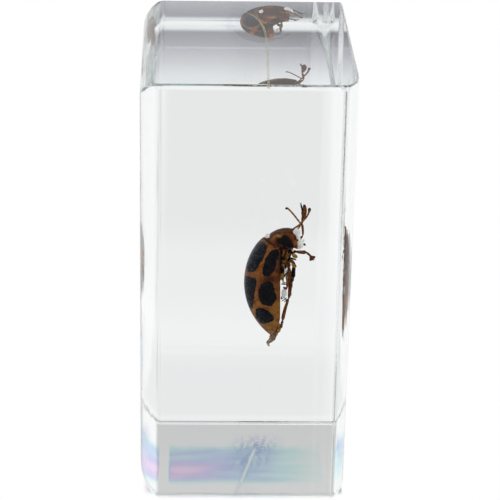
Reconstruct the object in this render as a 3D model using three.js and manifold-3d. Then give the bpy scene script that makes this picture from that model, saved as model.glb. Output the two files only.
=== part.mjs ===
// Clear cast block for a small insect specimen: a solid cuboid of casting resin with rounded edges.
// It was poured lying on its -X face in an open mould. The edges round that face took the mould's
// rounding. The +X face, which was open, was polished flat, and its edges are nearly sharp, like the
// four edges along X but for the worn lower front one. Both side faces taper to the front face.
// Millimetres, +Z up. The origin is the centre of the face that the block stands on.
import * as THREE from "three";
import { mergeVertices } from "three/addons/utils/BufferGeometryUtils.js";
import Module from "manifold-3d";

const wasm = await Module();
wasm.setup();

// Driving dimensions.
const WIDTH = 20.7; // along X, from the mould's floor to its mouth
const DEPTH = 28; // along Y
const HEIGHT = 44; // along Z
const SHARP_RADIUS = 0.5; // the upper and the rear edges along X
const FOOT_RADIUS = 1.2; // the lower front edge along X
const FLOOR_RADIUS = 2.0; // the edges round the -X face
const MOUTH_RADIUS = 0.3; // the edges round the +X face
const TAPER_DEPTH = 4.2; // how far back both side faces taper to the front face
const TAPER_WIDTH = 1.4; // how wide the +X face's taper is at the front face

// Facets in a quarter turn of an edge.
const EDGE_STEPS = 8;

// How far each drawn-out outline below runs past the block before it is cut off.
const OVERRUN = 3;

// A rectangle of 2 x by 2 y whose corners are quarters of ellipses, with their half-axes [wide, deep]
// given in turn from the corner at +x +y, by way of the one at -x +y.
function roundedRectangle(x, y, corners) {
  const quadrants = [
    [1, 1],
    [-1, 1],
    [-1, -1],
    [1, -1],
  ];
  const turn = Math.PI / 2;
  const shape = new THREE.Shape();
  corners.forEach(([wide, deep], i) => {
    const [right, up] = quadrants[i];
    const centre = [right * (x - wide), up * (y - deep)];
    shape.absellipse(...centre, wide, deep, i * turn, (i + 1) * turn, false);
  });
  return shape;
}

// A shape drawn out along Z, centred on the origin, past the length that it is to be cut to.
function drawnOut(shape, length) {
  const depth = length + 2 * OVERRUN;
  const geometry = new THREE.ExtrudeGeometry(shape, {
    depth,
    curveSegments: EDGE_STEPS,
    bevelEnabled: false,
  });
  return geometry.translate(0, 0, -depth / 2);
}

// A closed geometry as a solid.
function toSolid(geometry) {
  geometry.deleteAttribute("normal");
  geometry.deleteAttribute("uv");
  const merged = mergeVertices(geometry);
  const vertProperties = new Float32Array(merged.attributes.position.array);
  const triVerts = new Uint32Array(merged.index.array);
  return new wasm.Manifold(new wasm.Mesh({ numProp: 3, vertProperties, triVerts }));
}

// A solid as a geometry.
function toGeometry(solid) {
  const mesh = solid.getMesh();
  const geometry = new THREE.BufferGeometry();
  geometry.setAttribute("position", new THREE.BufferAttribute(mesh.vertProperties, 3));
  geometry.setIndex(new THREE.BufferAttribute(mesh.triVerts, 1));
  geometry.computeVertexNormals();
  return geometry;
}

// What three drawn-out outlines share: the block seen along X, along Y and along Z.
function blockGeometry() {
  const x = WIDTH / 2;
  const y = DEPTH / 2;
  const z = HEIGHT / 2;
  const sharp = [SHARP_RADIUS, SHARP_RADIUS];
  const worn = [FOOT_RADIUS, FOOT_RADIUS];
  const floor = [FLOOR_RADIUS, FLOOR_RADIUS];
  const mouth = [MOUTH_RADIUS, MOUTH_RADIUS];
  const tapers = [
    [FLOOR_RADIUS, TAPER_DEPTH],
    [TAPER_WIDTH, TAPER_DEPTH],
  ];
  // Turned about Y, the outline seen along X has its +x point down and its -x up.
  const side = roundedRectangle(z, y, [sharp, sharp, sharp, worn]);
  const face = roundedRectangle(x, z, [mouth, floor, floor, mouth]);
  const plan = roundedRectangle(x, y, [mouth, floor, ...tapers]);
  const alongX = drawnOut(side, WIDTH).rotateY(Math.PI / 2);
  const alongY = drawnOut(face, DEPTH).rotateX(Math.PI / 2);
  const alongZ = drawnOut(plan, HEIGHT);
  const block = toSolid(alongX).intersect(toSolid(alongY)).intersect(toSolid(alongZ));
  return toGeometry(block).translate(0, 0, z);
}

const clearResin = new THREE.MeshStandardMaterial({
  color: 0xe9eef0,
  roughness: 0.03,
  metalness: 0,
  transparent: true,
  opacity: 0.3,
});

const block = new THREE.Mesh(blockGeometry(), clearResin);
block.name = "resin_block";

const specimenBlock = new THREE.Group();
specimenBlock.add(block);

export default specimenBlock;
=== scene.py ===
"""Clear cast resin block with a spotted ladybird beetle sealed in it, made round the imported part.

The block stands on its smallest face and the beetle in it is seen from its right side, head up,
with its back towards -X. Everything is in metres in the row's frame. The beetle is drawn in its own
frame in millimetres, (u, v, w) = (towards the head, towards its right, towards its back), and
placed in the row's frame by one function.
"""

import math

import bpy
import numpy as np
from bpy.props import FloatProperty, FloatVectorProperty, PointerProperty
from mathutils import Matrix, Vector


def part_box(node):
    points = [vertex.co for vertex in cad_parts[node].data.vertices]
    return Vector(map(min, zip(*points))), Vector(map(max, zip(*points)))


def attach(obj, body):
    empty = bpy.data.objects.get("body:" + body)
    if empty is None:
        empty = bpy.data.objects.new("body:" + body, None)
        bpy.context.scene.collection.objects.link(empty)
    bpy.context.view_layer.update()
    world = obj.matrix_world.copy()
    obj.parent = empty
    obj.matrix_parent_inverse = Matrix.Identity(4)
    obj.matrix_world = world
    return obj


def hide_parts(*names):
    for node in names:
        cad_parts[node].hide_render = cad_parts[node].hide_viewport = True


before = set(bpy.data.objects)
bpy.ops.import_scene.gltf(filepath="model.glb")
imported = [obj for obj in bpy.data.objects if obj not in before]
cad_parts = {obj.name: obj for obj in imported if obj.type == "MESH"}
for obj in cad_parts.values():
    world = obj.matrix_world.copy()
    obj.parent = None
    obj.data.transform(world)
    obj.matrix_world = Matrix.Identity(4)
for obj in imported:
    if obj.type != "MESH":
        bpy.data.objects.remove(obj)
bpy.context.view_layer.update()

bl_info = {
    "name": "Beetle in a Resin Block",
    "version": (1, 0, 0),
    "blender": (4, 5, 0),
    "location": "3D View > Sidebar > Specimen",
    "description": "Builds a ladybird beetle cast in a clear resin block",
    "category": "Add Mesh",
}

MM = 0.001
NODE = "resin_block"
BODY = "root"
BLOCK_LOW, BLOCK_HIGH = (np.array(corner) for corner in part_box(NODE))


def linear(colour):
    """An sRGB colour written as 0xrrggbb, as three linear values."""
    channels = [(colour >> shift & 255) / 255 for shift in (16, 8, 0)]
    return tuple(c / 12.92 if c <= 0.04045 else ((c + 0.055) / 1.055) ** 2.4 for c in channels)


def length(name, description, millimetres):
    """A property that holds a length, with its default given in millimetres."""
    return FloatProperty(name=name, description=description, default=millimetres * MM, unit="LENGTH")


def angle(name, description, degrees):
    """A property that holds an angle, with its default given in degrees."""
    return FloatProperty(name=name, description=description, default=math.radians(degrees), unit="ROTATION")


def amount(name, description, value):
    """A property that holds a plain number."""
    return FloatProperty(name=name, description=description, default=value)


def tint(name, description, colour):
    """A property that holds a colour, with its default given as sRGB 0xrrggbb."""
    return FloatVectorProperty(
        name=name, description=description, default=linear(colour), subtype="COLOR", min=0, max=1
    )


# ---------------------------------------------------------------- settings


class BlockSettings(bpy.types.PropertyGroup):
    """Sizes and optics of the cast block."""

    sharp_radius: length("Sharp radius", "Radius of the two rear edges along X", 0.5)
    lip_length: length("Lip length", "How far the top face rolls off to the front", 1.0)
    lip_drop: length("Lip drop", "How far down the front face it rolls off", 0.4)
    foot_radius: length("Foot radius", "Radius of the lower front edge along X", 1.2)
    edge_bulge: amount("Edge bulge", "Power of the rubbed edges' outline: 2 is round, 1 a flat bevel", 1.7)
    floor_radius: length("Floor radius", "Radius of the edges round the -X face", 2.0)
    taper_width: length("Taper width", "How wide the +X face's taper is at the front face", 1.4)
    taper_depth: length("Taper depth", "How far back both side faces taper to the front face", 4.2)
    mouth_radius: length("Mouth radius", "Radius of the edges round the +X face, but for the front", 0.3)
    scratch_depth: length("Scratch depth", "Depth of the polishing scratches on the edges", 0.045)
    # Grey of the thin lines that darken the light through the rubbed edges.
    edge_line_grey: tint("Edge line grey", "Grey of the dull lines along the rubbed edges", 0x9CA0A4)
    refraction: amount("Refraction", "Refractive index of cured casting resin", 1.5)
    absorption: amount("Absorption", "Absorption density of the resin, per metre", 2.0)
    resin_colour: tint("Resin colour", "Colour that the absorption leaves", 0xA0D2D4)
    seam_offset: length("Seam offset", "Where along X the first pour ends, on the front face", 1.65)
    seam_turn: angle("Seam turn", "How far the seam is turned from Y towards X", 1.56)
    edge_ripple: length("Edge ripple", "Height of the hand-polished edges' ripple", 0.014)
    seam_thickness: length("Seam thickness", "Thickness of the seam inside the block", 0.05)
    # Half-width of the pale strip along the seam's top edge, which carries a painted highlight.
    seam_edge_highlight: length("Seam edge highlight", "Half-width of the bead along the seam's top edge", 0.12)
    seam_density: amount("Seam density", "Absorption density of the seam, per metre", 3.5)
    seam_back_drop: length("Seam drop at the back", "How far it falls back at the top back edge", 8.9)
    seam_foot_drop: length("Seam drop at the foot", "How far it falls back at the bottom front edge", 3.2)
    seam_colour: tint("Seam colour", "Faint yellow of the seam", 0xE6E0B0)
    # Pale yellow of that strip: a painted highlight for the light that the seam edge refracts.
    edge_highlight_colour: tint("Edge highlight colour", "Pale yellow of the milky bead along the seam", 0xEFEBB4)
    crease_colour: tint("Crease colour", "Shade of the creases near the seam's foot", 0xF8F9FB)


class BeetleSettings(bpy.types.PropertyGroup):
    """Place and main sizes of the beetle."""

    centre: FloatVectorProperty(
        name="Centre",
        description="Middle of the wing cases' lower rim, in the row's frame",
        default=(3.6 * MM, 1.78 * MM, 19.78 * MM),
        subtype="TRANSLATION",
    )
    tilt: angle("Tilt", "How far the head end leans away towards +Y", 7.5)
    lean: angle("Lean", "How far the head end leans towards -X", 1.2)
    half_width: length("Half width", "Half the width over both wing cases", 3.65)
    height: length("Height", "Height of the wing cases over their rim", 3.57)
    shell_thickness: length("Shell thickness", "Thickness of a wing case", 0.12)


class ColourSettings(bpy.types.PropertyGroup):
    """Colours of the beetle and of the air at it."""

    shell_orange: tint("Shell orange", "Ground colour of the wing cases", 0xB46C2C)
    shell_tan: tint("Shell tan", "Ground colour towards the tail", 0xC48A3A)
    shell_black: tint("Shell black", "Colour of the spots", 0x111116)
    # Painted sheen: the grey that the thin air over the back mirrors on the spots.
    shell_sheen_grey: tint("Shell sheen grey", "Grey of the dull spots over the back", 0x5C6070)
    # Painted sheen: the mauve that the thin air over the back mirrors on the ground.
    sheen_mauve: tint("Sheen mauve", "Mauve brown of the dull ground over the back", 0x9A8074)
    shell_smear: tint("Shell smear", "Dark brown stain between two spots", 0x4A2410)
    pronotum_brown: tint("Pronotum brown", "Red-brown of the pronotum", 0x7A3F1C)
    amber: tint("Amber", "Golden, translucent parts of the limbs", 0xF0AE3C)
    rim_orange: tint("Rim orange", "Paler front rim of the pronotum", 0xA9642B)
    limb_brown: tint("Limb brown", "Colour of the legs and antennae", 0x9C5A32)
    # Also the painted shade where the limbs are seen edge on.
    limb_dark: tint("Limb dark", "Dark parts of the legs and antennae", 0x3A2014)
    limb_black: tint("Limb black", "Black joints and claws", 0x16100E)
    underside_brown: tint("Underside brown", "Colour of the underside", 0x2A1A10)
    wing_grey: tint("Wing grey", "Smoky grey-brown of the hind wings", 0xD6BCA4)
    froth_white: tint("Froth white", "White froth of the trapped air", 0xFFFEFA)
    froth_grey: tint("Froth grey", "Clearer bubbles in the froth", 0xDAD6CC)
    # Painted shade of the froth where it is seen edge on.
    froth_rim: tint("Froth rim", "Froth seen edge on", 0xA09A8E)


class StageSettings(bpy.types.PropertyGroup):
    """Camera, floor and light."""

    azimuth: angle("Azimuth", "How far the view is turned from +Y towards +X", 2.0)
    elevation: angle("Elevation", "How far the camera looks down", 23.35)
    roll: angle("Roll", "How far the camera is rolled", 1.13)
    distance: length("Distance", "From the camera to its target", 215.0)
    lens: amount("Lens", "Focal length in millimetres on a 36 mm sensor", 150.84)
    target: FloatVectorProperty(
        name="Target",
        description="Point that the camera looks at",
        default=(0.71 * MM, 0.0, 21.60 * MM),
        subtype="TRANSLATION",
    )
    floor_size: length("Floor size", "Side of the floor", 3000.0)
    floor_gap: length("Floor gap", "Air left under the block", 0.05)
    shade_depth: amount("Shade", "How much light the floor loses under the block's front edge", 0.72)
    shade_colour: tint("Shade colour", "Tint of the light under the block", 0xECEAFF)
    back_shade: amount("Back shade", "How much light the floor loses behind the block", 0.115)
    room_light: amount("Room light", "Light of the floor where it ends in front of the block", 0.08)
    room_shade: amount("Room shade", "How much darker the room in front of the block is", 0.6)
    wall_light: amount("Wall light", "Light of the wall low behind the block", 0.62)


SETTINGS = {
    "block": BlockSettings,
    "beetle": BeetleSettings,
    "colours": ColourSettings,
    "stage": StageSettings,
}


class SpecimenSettings(bpy.types.PropertyGroup):
    """All settings of the specimen."""

    block: PointerProperty(type=BlockSettings)
    beetle: PointerProperty(type=BeetleSettings)
    colours: PointerProperty(type=ColourSettings)
    stage: PointerProperty(type=StageSettings)


def current():
    """The scene's settings."""
    return bpy.context.scene.specimen


# ---------------------------------------------------------------- meshes


def grid_quads(rows, columns, wrap=False):
    """Quads of a grid of rows by columns points, joined round its columns if wrap is set."""
    row, column = np.meshgrid(np.arange(rows - 1), np.arange(columns - (not wrap)), indexing="ij")
    after = (column + 1) % columns
    corners = [row * columns + column, (row + 1) * columns + column]
    corners += [(row + 1) * columns + after, row * columns + after]
    return np.stack(corners, -1).reshape(-1, 4)


def closed_tube(rings):
    """A closed skin from rings[i, j]: quads between neighbouring rings, and a fan at each end."""
    rows, around = rings.shape[:2]
    points = np.concatenate([rings.reshape(-1, 3), [rings[0].mean(0), rings[-1].mean(0)]])
    here = np.arange(around)
    after = (here + 1) % around
    last = (rows - 1) * around
    start, end = np.full(around, rows * around), np.full(around, rows * around + 1)
    fans = [np.stack([start, here, after], -1), np.stack([end, last + after, last + here], -1)]
    return points, [grid_quads(rows, around, True), *fans]


def thin_shell(outer, inner):
    """A closed shell from two grids of one shape: both skins, and a strip along each edge."""
    rows, columns = outer.shape[:2]
    count = rows * columns
    skin = grid_quads(rows, columns)
    index = np.arange(count).reshape(rows, columns)
    edges = [index[::-1, 0], index[:, -1], index[0, :], index[-1, ::-1]]
    strips = [np.stack([e[:-1], e[1:], e[1:] + count, e[:-1] + count], -1) for e in edges]
    points = np.concatenate([outer.reshape(-1, 3), inner.reshape(-1, 3)])
    return points, [skin, skin[:, ::-1] + count, *strips]


def joined(parts):
    """Several skins as one: (points, face arrays) of each, with their faces renumbered."""
    starts = np.cumsum([0] + [len(points) for points, _ in parts])
    faces = [block + start for (_, blocks), start in zip(parts, starts) for block in blocks]
    return np.concatenate([points for points, _ in parts]), faces


def signed_volume(points, faces):
    """Six times the volume inside a closed skin, above zero where its faces point outwards: the sum
    over its triangles of a . (b x c), with a, b and c their corners."""
    total = 0.0
    for block in faces:
        corner = points[block[:, 0]]
        for i in range(1, block.shape[1] - 1):
            total += np.einsum("ij,ij->", corner, np.cross(points[block[:, i]], points[block[:, i + 1]]))
    return total


def outward(part):
    """The same skin with its faces turned to point outwards."""
    points, faces = part
    centred = points - points.mean(0)
    return part if signed_volume(centred, faces) > 0 else (points, [block[:, ::-1] for block in faces])


def make_object(name, part, material, attributes=None, smooth=True):
    """A mesh object from (points, face arrays), with a value for each point in each attribute. It
    rides on the block's body."""
    points, faces = part
    mesh = bpy.data.meshes.new(name)
    mesh.from_pydata(points.tolist(), [], [face for block in faces for face in block.tolist()])
    mesh.polygons.foreach_set("use_smooth", np.full(len(mesh.polygons), smooth))
    for key, values in (attributes or {}).items():
        layer = mesh.attributes.new(key, "FLOAT", "POINT")
        layer.data.foreach_set("value", np.asarray(values, np.float32))
    mesh.materials.append(material)
    mesh.update()
    piece = bpy.data.objects.new(name, mesh)
    bpy.context.scene.collection.objects.link(piece)
    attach(piece, BODY)
    return piece


def grid_normals(grid):
    """Unit normals of a grid of points, from the cross product of its two directions."""
    along = np.gradient(grid, axis=0)
    across = np.gradient(grid, axis=1)
    normal = np.cross(along, across)
    return normal / np.maximum(np.linalg.norm(normal, axis=-1, keepdims=True), 1e-12)


def curve_through(points, count):
    """A smooth curve through a few points: cubic pieces whose slope at each point is half the step
    from the point before it to the point after it."""
    points = np.asarray(points, float)
    padded = np.concatenate([[2 * points[0] - points[1]], points, [2 * points[-1] - points[-2]]])
    t = np.linspace(0, len(points) - 1, count)
    piece = np.minimum(t.astype(int), len(points) - 2)
    return cubic(*(padded[piece + k] for k in range(4)), (t - piece)[:, None])


def cubic(a, b, c, d, t):
    """The point at t of the cubic from b to c whose slopes there are (c - a) / 2 and (d - b) / 2."""
    return 0.5 * (2 * b + (c - a) * t + (2 * a - 5 * b + 4 * c - d) * t**2 + (3 * b - a - 3 * c + d) * t**3)


def outline_distance(x, y, outline):
    """Distance from points to a smooth closed outline through a few points, negative inside it. The
    outline is cut into straight edges, and a point is inside where a line from it crosses an odd
    number of them."""
    corners = np.asarray(outline, float)
    neighbours = [np.roll(corners, shift, axis=0)[:, None] for shift in (1, 0, -1, -2)]
    start = cubic(*neighbours, np.linspace(0, 1, 6)[:-1, None]).reshape(-1, 2)
    edge = np.roll(start, -1, axis=0) - start
    gap = np.stack([x, y], -1)[..., None, :] - start
    share = np.clip((gap * edge).sum(-1) / (edge**2).sum(-1), 0, 1)
    distance = np.linalg.norm(gap - share[..., None] * edge, axis=-1).min(-1)
    beside = (gap[..., 1] < 0) != (gap[..., 1] < edge[:, 1])
    crossed = beside & (gap[..., 0] < edge[:, 0] * gap[..., 1] / np.where(edge[:, 1] == 0, 1, edge[:, 1]))
    return np.where(crossed.sum(-1) % 2 == 1, -distance, distance)


def sweep(path, wide, thick, across, around):
    """A closed tube along a path: an ellipse with half-axes wide and thick at each point, its wide
    axis as near to the direction across as the path allows."""
    tangent = np.gradient(path, axis=0)
    tangent /= np.linalg.norm(tangent, axis=1, keepdims=True)
    normal = np.cross(tangent, across)
    normal /= np.linalg.norm(normal, axis=1, keepdims=True)
    side = np.cross(normal, tangent)
    turn = np.linspace(0, 2 * np.pi, around, endpoint=False)
    wide, thick = (np.broadcast_to(r, len(path))[:, None, None] for r in (wide, thick))
    ring = wide * np.cos(turn)[:, None] * side[:, None] + thick * np.sin(turn)[:, None] * normal[:, None]
    return closed_tube(path[:, None] + ring)


def blob(centre, radii, rows=18, around=28):
    """An ellipsoid: circles of radius sin(t) at height cos(t), scaled by its three half-axes."""
    t = np.linspace(0.02, np.pi - 0.02, rows)[:, None]
    turn = np.linspace(0, 2 * np.pi, around, endpoint=False)[None]
    unit = np.stack(
        [np.cos(t) + 0 * turn, np.sin(t) * np.cos(turn), np.sin(t) * np.sin(turn)], axis=-1
    )
    return closed_tube(np.asarray(centre) + unit * np.asarray(radii))


# ---------------------------------------------------------------- materials


def add_node(tree, kind, inputs=(), **settings):
    """Adds a node with its settings. Its inputs are given in order or by name. Each is a plain value,
    or what is linked to it: a socket, or a node, of which the first output in use is taken."""
    node = tree.nodes.new("ShaderNode" + kind)
    for key, value in settings.items():
        setattr(node, key, value)
    for key, value in inputs.items() if isinstance(inputs, dict) else enumerate(inputs):
        socket = node.inputs[key]
        if isinstance(value, bpy.types.Node):
            value = next(output for output in value.outputs if output.enabled)
        if isinstance(value, bpy.types.NodeSocket):
            tree.links.new(value, socket)
        elif socket.type == "RGBA":
            socket.default_value = (*value, 1.0)
        else:
            socket.default_value = value
    return node


def new_material(name, *attributes):
    """An empty node material, its node tree, and the value of each of the mesh attributes named."""
    material = bpy.data.materials.new(name)
    material.use_nodes = True
    tree = material.node_tree
    tree.nodes.clear()
    nodes = [add_node(tree, "Attribute", attribute_name=attribute) for attribute in attributes]
    return material, tree, *(node.outputs["Fac"] for node in nodes)


def pattern(tree, kind, size_mm, detail, place=None):
    """A texture, Noise or Voronoi, whose blotches or cells are about size_mm across, on Object
    coordinates unless given others."""
    place = place or add_node(tree, "TexCoord").outputs["Object"]
    inputs = {"Vector": place, "Scale": 1 / (size_mm * MM), "Detail": detail, "Roughness": 0.55}
    return add_node(tree, "Tex" + kind, inputs)


def product(tree, *factors):
    """The product of its factors. Each is a number, a socket, a node or a smooth step. A step is a
    tuple: a value, where along it the step starts and ends, and what it goes from and to, which is
    from 1 to 0 unless given."""
    result = None
    for factor in factors:
        if isinstance(factor, tuple):
            inputs = [*factor, 1.0, 0.0][:5]
            factor = add_node(tree, "MapRange", inputs, interpolation_type="SMOOTHSTEP")
        if result is not None:
            factor = add_node(tree, "Math", [result, factor], operation="MULTIPLY")
        result = factor
    return result


def coated(tree, colour, *coats):
    """A colour under coats of other colours, each given as how much it covers and its colour."""
    for cover, coat in coats:
        colour = add_node(tree, "Mix", {0: cover, 6: colour, 7: coat}, data_type="RGBA")
    return colour


def chitin_surface(tree, colour, height, gloss, depth_mm=0.02):
    """The surface of dry beetle shell: a dull gloss over its colour, with its relief as a bump."""
    inputs = {"Strength": 0.6, "Distance": depth_mm * MM, "Height": height}
    inputs = {"Base Color": colour, "Normal": add_node(tree, "Bump", inputs), **gloss}
    add_node(tree, "OutputMaterial", [add_node(tree, "BsdfPrincipled", inputs)])


def cast_resin(settings):
    """Clear polyester casting resin, polished: no colour of its own, sharp reflections, and a slight
    cool grey that shows over the depth of the block."""
    names = ("turned_by", "rubbed", "edge_lines")
    material, tree, turned_by, rubbed, edge_lines = new_material("clear cast polyester resin", *names)
    # Scratches left by the polishing are about 0.25 mm apart. They run along the rubbed edges and are
    # about 5 mm long.
    place = add_node(tree, "TexCoord").outputs["Object"]
    along = add_node(tree, "VectorMath", [place, [0.05] * 3], operation="DOT_PRODUCT")
    streaks = pattern(tree, "Noise", 0.25, 3.0, add_node(tree, "CombineXYZ", [turned_by, along]))
    inputs = {"Strength": rubbed, "Distance": settings.scratch_depth, "Height": streaks}
    scratches = add_node(tree, "Bump", inputs)
    # Fine grey lines darken the light that crosses the rubbed edges.
    line_weight = product(tree, (streaks, 0.35, 0.6), edge_lines)
    colour = coated(tree, (1, 1, 1), (line_weight, settings.edge_line_grey))
    clear = {"Roughness": 0.0, "IOR": settings.refraction, "Transmission Weight": 1.0}
    inputs = {"Base Color": colour, "Normal": scratches, **clear}
    surface = add_node(tree, "BsdfPrincipled", inputs)
    volume = add_node(tree, "VolumeAbsorption", [settings.resin_colour, settings.absorption])
    add_node(tree, "OutputMaterial", [surface, volume])
    return material


def pour_seam(settings):
    """The skin between two pours of resin: clear face on, a faint yellow line edge on."""
    material, tree, creased = new_material("cured skin between two resin pours", "creased")
    # Creases are about 0.5 mm apart and lie only where the attribute says.
    creases = product(tree, (pattern(tree, "Noise", 0.55, 2.0), 0.46, 0.56), creased)
    colour = coated(tree, (1, 1, 1), (creases, settings.crease_colour))
    surface = add_node(tree, "BsdfTransparent", [colour])
    volume = add_node(tree, "VolumeAbsorption", [settings.seam_colour, settings.seam_density])
    add_node(tree, "OutputMaterial", [surface, volume])
    return material


def seam_edge_highlight(settings):
    """The upper edge of the seam, drawn as a pale yellow strip: the edge is there, and its brightness
    is a painted highlight for the light that it refracts. The strip is fainter in places, so it shows
    as a broken line."""
    material, tree = new_material("pale strip of painted highlight on the seam edge")
    streaks = product(tree, (pattern(tree, "Noise", 2.5, 1.0), 0.3, 0.7, 0.36, 0.16))
    inputs = {"Base Color": settings.edge_highlight_colour, "Roughness": 0.6, "IOR": 1.02, "Alpha": streaks}
    add_node(tree, "OutputMaterial", [add_node(tree, "BsdfPrincipled", inputs)])
    return material


# How light is tinted that is mirrored by the bottom face through a growing thickness of cured skin,
# and through the creases in it.
FILM_TINTS = (
    (0.0, 0xFFFFFF),
    (0.18, 0xDDF8F6),
    (0.32, 0xD4EEF8),
    (0.46, 0xD2DCFA),
    (0.62, 0xD4D4F8),
    (0.78, 0xEBD8F9),
    (0.92, 0xFAE1FB),
)
CREASE_TINT = 0xA4B6DC


def fourth_root(colour):
    """The fourth root of an sRGB colour, as three linear values."""
    return [channel**0.25 for channel in linear(colour)]


def mirror_film():
    """The skin that cured against the glass under the block. Where light meets it at a low angle, it
    mirrors pale interference colours, which run from cyan through blue and lilac to pink as it gets
    thicker from its ragged rear edge to its front left corner. On both sides of the seam's foot it is
    creased. Light crosses its two faces on the way down and again on the way up, so each face has the
    fourth root of a tint."""
    material, tree = new_material("interference skin on the cast foot")
    place = add_node(tree, "TexCoord").outputs["Object"]
    in_mm = add_node(tree, "VectorMath", {"Vector": place, "Scale": 1 / MM}, operation="SCALE")
    x, y, _ = add_node(tree, "SeparateXYZ", [in_mm]).outputs
    facing = add_node(tree, "LayerWeight").outputs["Facing"]
    low_angle = product(tree, (facing, 0.35, 0.6, 0.0, 1.0))
    # The seam's foot is a thin clear ridge, which runs from the middle of the front to the right. Its
    # place and those of the skin's edges and its creases are in mm.
    ridge = add_node(tree, "Math", [y, 0.14, 0.95], operation="MULTIPLY_ADD")
    from_ridge = add_node(tree, "Math", [x, ridge], operation="SUBTRACT")
    beside = add_node(tree, "Math", [from_ridge], operation="ABSOLUTE")
    on_ridge = product(tree, (beside, 0.04, 0.24), (y, 2.5, 5.5))
    off_ridge = add_node(tree, "Math", [1.0, on_ridge], operation="SUBTRACT")
    stretched = add_node(tree, "Mapping", {"Vector": place, "Scale": (0.16, 1.0, 1.0)})
    streaks = pattern(tree, "Noise", 1.3, 3.0, stretched)
    rear_edge = [pattern(tree, "Noise", 1.4, 3.0), 3.0, y]
    ragged = add_node(tree, "Math", rear_edge, operation="MULTIPLY_ADD")
    rear = product(tree, (ragged, 7.2, 4.3, 0.0, 0.5))
    corner = product(tree, (y, 2.5, -5.0, 0.0, 0.48), (x, -7.3, 1.0))
    thickness = product(
        tree,
        add_node(tree, "Math", [rear, corner], operation="ADD"),
        low_angle,
        off_ridge,
        (y, -8.4, -5.8, 0.0, 1.0),
        (x, -7.6, -7.3, 0.0, 1.0),
        (x, 1.0, 8.2, 1.0, 0.15),
        (streaks, 0.38, 0.62, 1.1, 0.45),
    )
    film = add_node(tree, "ValToRGB", [thickness])
    stops = film.color_ramp.elements
    stops.remove(stops[1])
    for at, colour in FILM_TINTS:
        stop = stops[0] if at == 0 else stops.new(at)
        stop.color = (*fourth_root(colour), 1.0)
    creases = product(
        tree,
        (beside, 0.3, 3.4),
        (pattern(tree, "Noise", 0.32, 2.0), 0.46, 0.60, 0.0, 1.0),
        low_angle,
        off_ridge,
        (y, -7.0, -1.0, 0.0, 1.0),
        (y, 5.0, 10.0),
    )
    colour = coated(tree, film, (creases, fourth_root(CREASE_TINT)))
    add_node(tree, "OutputMaterial", [add_node(tree, "BsdfTransparent", [colour])])
    return material


def trapped_air(colours):
    """Air caught against the beetle as fine froth: clear bubbles in it look silvery, since most light
    that meets them from the resin is thrown back, and the froth between them is white."""
    material, tree = new_material("trapped air in resin")
    facing = add_node(tree, "LayerWeight").outputs["Facing"]
    froth = product(tree, (pattern(tree, "Noise", 0.25, 4.0), 0.36, 0.50))
    # Painted shade: the froth is drawn greyer where it is seen edge on.
    rim = product(tree, (facing, 0.6, 0.95, 0.0, 0.6))
    coats = ((froth, colours.froth_white), (rim, colours.froth_rim))
    colour = coated(tree, colours.froth_grey, *coats)
    # Light from behind that the froth passes on is added as a faint glow.
    glow = {"Emission Color": (1.0, 1.0, 0.98), "Emission Strength": 0.24}
    gloss = {"Roughness": 0.25, "IOR": 1.15, "Transmission Weight": 0.1, **glow}
    chitin_surface(tree, colour, pattern(tree, "Noise", 0.12, 3.0), gloss, 0.05)
    return material


# Resin wets most of the shell, so it hardly shines.
WETTED_GLOSS = {"Roughness": 0.4, "IOR": 1.1}


def spotted_chitin(colours):
    """Wing cases of a dried ladybird: orange-brown chitin with black spots, finely pitted."""
    names = ("spot", "tail", "smear", "edge", "sheen")
    material, tree, spot, tail, smear, edge, sheen = new_material("spotted wing case chitin", *names)
    blotch = product(tree, (pattern(tree, "Noise", 1.4, 3.0), 0.30, 0.62))
    # Pits lie about 0.15 mm apart and are drawn 0.26 mm apart so that they show, with painted shade in
    # them that darkens them against the ground between them.
    pits = pattern(tree, "Voronoi", 0.26, 0.0)
    pit_shade = product(tree, (pits, 0.10, 0.55), 0.42)
    # Over the back the resin has let go of the shell. The thin air there mirrors light, drawn as a painted
    # sheen that greys the spots and the ground between their pits.
    sheen_cover = product(tree, (pits, 0.35, 0.75, 0.0, 1.0), sheen)
    ground = coated(
        tree,
        colours.shell_orange,
        (tail, colours.shell_tan),
        (blotch, colours.pronotum_brown),
        (smear, colours.shell_smear),
        (edge, colours.shell_smear),
        (pit_shade, colours.shell_smear),
        (sheen_cover, colours.sheen_mauve),
    )
    black = coated(tree, colours.shell_black, (sheen_cover, colours.shell_sheen_grey))
    # The spots' outlines waver by up to 0.18 mm.
    wavered = [pattern(tree, "Noise", 0.5, 4.0), 0.36, spot]
    ragged = add_node(tree, "Math", wavered, operation="MULTIPLY_ADD")
    colour = coated(tree, ground, (product(tree, (ragged, 0.14, 0.22)), black))
    height = product(tree, (pits, 0.10, 0.55, 0.0, 1.0))
    chitin_surface(tree, colour, height, WETTED_GLOSS)
    return material


def pronotum_chitin(colours):
    """Pronotum: red-brown chitin with a black blotch on each side and a paler front rim."""
    names = ("spot", "rim", "gold", "crown_and_gap_shade")
    material, tree, spot, rim, gold, crown_and_gap_shade = new_material("pronotum chitin", *names)
    noise = pattern(tree, "Noise", 0.5, 3.0)
    ragged = add_node(tree, "Math", [noise, 0.4, spot], operation="MULTIPLY_ADD")
    colour = coated(
        tree,
        colours.pronotum_brown,
        (rim, colours.rim_orange),
        (gold, colours.shell_tan),
        (product(tree, (noise, 0.35, 0.6)), colours.shell_smear),
        # Dark along the middle line, and painted shade in the gap at the rear edge beside the wing cases.
        (crown_and_gap_shade, colours.underside_brown),
        (product(tree, (ragged, 0.14, 0.26)), colours.shell_black),
    )
    chitin_surface(tree, colour, pattern(tree, "Voronoi", 0.14, 0.0), WETTED_GLOSS)
    return material


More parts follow.
